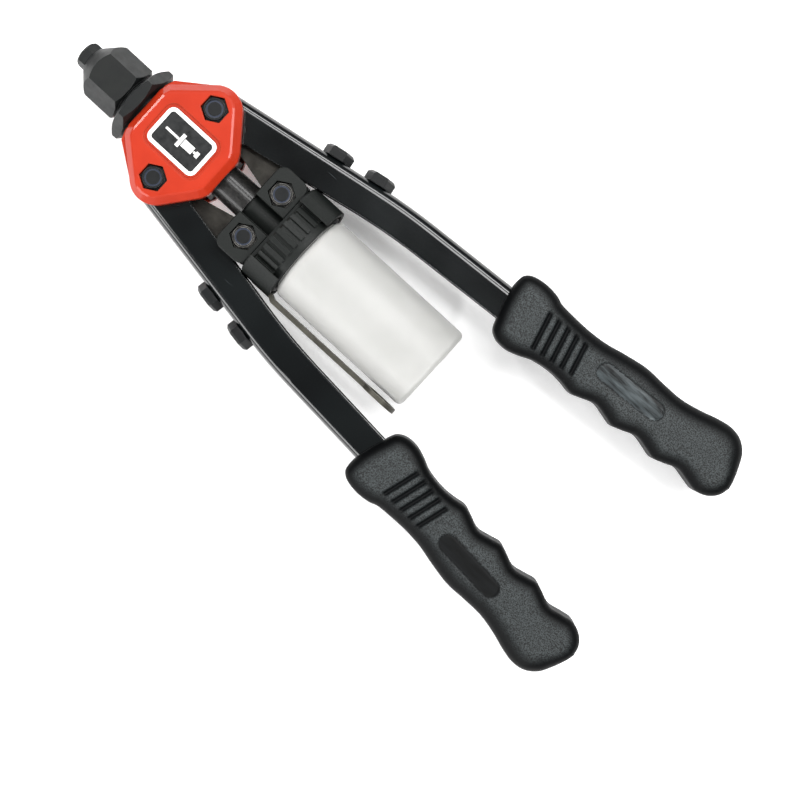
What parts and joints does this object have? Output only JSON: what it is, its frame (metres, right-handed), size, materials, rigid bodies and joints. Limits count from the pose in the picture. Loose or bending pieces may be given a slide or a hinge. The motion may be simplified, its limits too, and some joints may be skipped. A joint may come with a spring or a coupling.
{
  "type": "hand riveter",
  "caption": "Two-handed lever riveter for blind rivets: hexagonal nose, red covers, toggle links, pulling jaws, mandrel bottle, clip-on spanner and channel arms with finger grips.",
  "frame": {"origin": "centre of the nosepiece mouth, on the tool's axis", "axes": "+X along the tool from the mouth to the handles, +Y to the upper arm, +Z out of the badge face"},
  "size_m": [0.3307, 0.138, 0.0442],
  "materials": {
    "black_oxide_steel": "satin black oxide with light worn edges",
    "black_bolt_steel": "satin black oxide",
    "red_enamel": "gloss red-orange enamel",
    "badge_white": "printed white border",
    "badge_black": "dark field",
    "nylon_blue": "dyed nylon",
    "bright_steel": "ground steel",
    "gloss_black_paint": "gloss black stove enamel",
    "bare_link_steel": "rolled bare steel",
    "oiled_tube_steel": "rough oiled black steel",
    "cast_black": "matte dark grey moulding",
    "grip_rubber": "fine grained soft moulding",
    "frosted_bottle": "translucent blow-moulded polyethylene",
    "seal_rubber": "nitrile",
    "spring_steel": "drawn wire",
    "stamped_spanner_steel": "stamped oiled steel"
  },
  "bodies": {
    "head": {"head_body": "black_oxide_steel", "nosepiece": "black_oxide_steel", "frame_head": "black_oxide_steel", "lock_nut": "black_oxide_steel", "front_cover": "red_enamel", "rear_cover": "red_enamel", "badge_frame": "badge_white", "badge_plate": "badge_black", "pivot_bolts": "black_bolt_steel", "pivot_nuts": "black_bolt_steel", "pivot_nut_rings": "nylon_blue", "pivot_bushes": "bright_steel", "pivot_washers": "bright_steel"},
    "upper_arm": {"upper_channel": "gloss_black_paint", "upper_lever_core": "black_oxide_steel", "upper_arm_bolts": "black_bolt_steel", "upper_link_pin": "black_bolt_steel", "upper_grip": "grip_rubber"},
    "lower_arm": {"lower_channel": "gloss_black_paint", "lower_lever_core": "black_oxide_steel", "lower_arm_bolts": "black_bolt_steel", "lower_link_pin": "black_bolt_steel", "lower_grip": "grip_rubber"},
    "upper_link": {"upper_link": "bare_link_steel"},
    "lower_link": {"lower_link": "bare_link_steel"},
    "puller": {"yoke": "cast_black", "puller_tube": "oiled_tube_steel", "jaw_case": "oiled_tube_steel", "jaw_spring": "spring_steel", "yoke_bolts": "black_bolt_steel", "yoke_nuts": "black_bolt_steel", "yoke_nut_rings": "nylon_blue", "holder": "cast_black"},
    "pusher": {"jaw_pusher": "bright_steel"},
    "jaw_1": {"jaw_1": "bright_steel"},
    "jaw_2": {"jaw_2": "bright_steel"},
    "jaw_3": {"jaw_3": "bright_steel"},
    "seal": {"bottle_seal": "seal_rubber"},
    "bottle": {"bottle": "frosted_bottle", "bottle_cap": "cast_black"},
    "spanner": {"spanner": "stamped_spanner_steel"}
  },
  "joints": [
    {"name": "upper_handle", "type": "hinge", "parent": "head", "child": "upper_arm", "pos_m": [0.061, 0.0194, 0], "axis": [0, 0, 1], "range_deg": [0, 60]},
    {"name": "lower_handle", "type": "hinge", "parent": "head", "child": "lower_arm", "pos_m": [0.061, -0.0194, 0], "axis": [0, 0, 1], "range_deg": [-60, 0]},
    {"name": "puller_slide", "type": "slide", "parent": "head", "child": "puller", "axis": [-1, 0, 0], "range_m": [0, 0.00991]},
    {"name": "upper_link_swing", "type": "hinge", "parent": "upper_arm", "child": "upper_link", "pos_m": [0.073, 0.02005, 0], "axis": [0, 0, 1], "range_deg": [-79.8, 0]},
    {"name": "lower_link_swing", "type": "hinge", "parent": "lower_arm", "child": "lower_link", "pos_m": [0.073, -0.02005, 0], "axis": [0, 0, 1], "range_deg": [0, 79.8]},
    {"name": "pusher_slide", "type": "slide", "parent": "puller", "child": "pusher", "axis": [1, 0, 0], "range_m": [0, 0.00251], "deforming": ["jaw_spring"]},
    {"name": "jaw_1_slide", "type": "slide", "parent": "puller", "child": "jaw_1", "axis": [0.9848, 0.1736, 0], "range_m": [0, 0.00257]},
    {"name": "jaw_2_slide", "type": "slide", "parent": "puller", "child": "jaw_2", "axis": [0.9848, -0.0868, 0.1504], "range_m": [0, 0.00257]},
    {"name": "jaw_3_slide", "type": "slide", "parent": "puller", "child": "jaw_3", "axis": [0.9848, -0.0868, -0.1504], "range_m": [0, 0.00257]},
    {"name": "bottle_travel", "type": "slide", "parent": "puller", "child": "seal", "axis": [1, 0, 0], "range_m": [0, 0.00601]},
    {"name": "bottle_turn", "type": "hinge", "parent": "seal", "child": "bottle", "pos_m": [0.12, 0, 0], "axis": [1, 0, 0], "range_deg": [0, 720]},
    {"name": "spanner_slide", "type": "slide", "parent": "puller", "child": "spanner", "axis": [1, 0, 0], "range_m": [0, 0.009]}
  ],
  "couplings": [
    {"joint": "lower_handle", "follows": "upper_handle", "ratio": -1},
    {"joint": "puller_slide", "follows": "upper_handle", "m_per_rad": 0.009454},
    {"joint": "upper_link_swing", "follows": "upper_handle", "ratio": -1.3283},
    {"joint": "lower_link_swing", "follows": "upper_handle", "ratio": 1.3283},
    {"joint": "pusher_slide", "follows": "upper_handle", "m_per_rad": 0.002387},
    {"joint": "jaw_1_slide", "follows": "upper_handle", "m_per_rad": 0.002424},
    {"joint": "jaw_2_slide", "follows": "upper_handle", "m_per_rad": 0.002424},
    {"joint": "jaw_3_slide", "follows": "upper_handle", "m_per_rad": 0.002424},
    {"joint": "bottle_travel", "follows": "bottle_turn", "m_per_rad": 0.00047746}
  ]
}
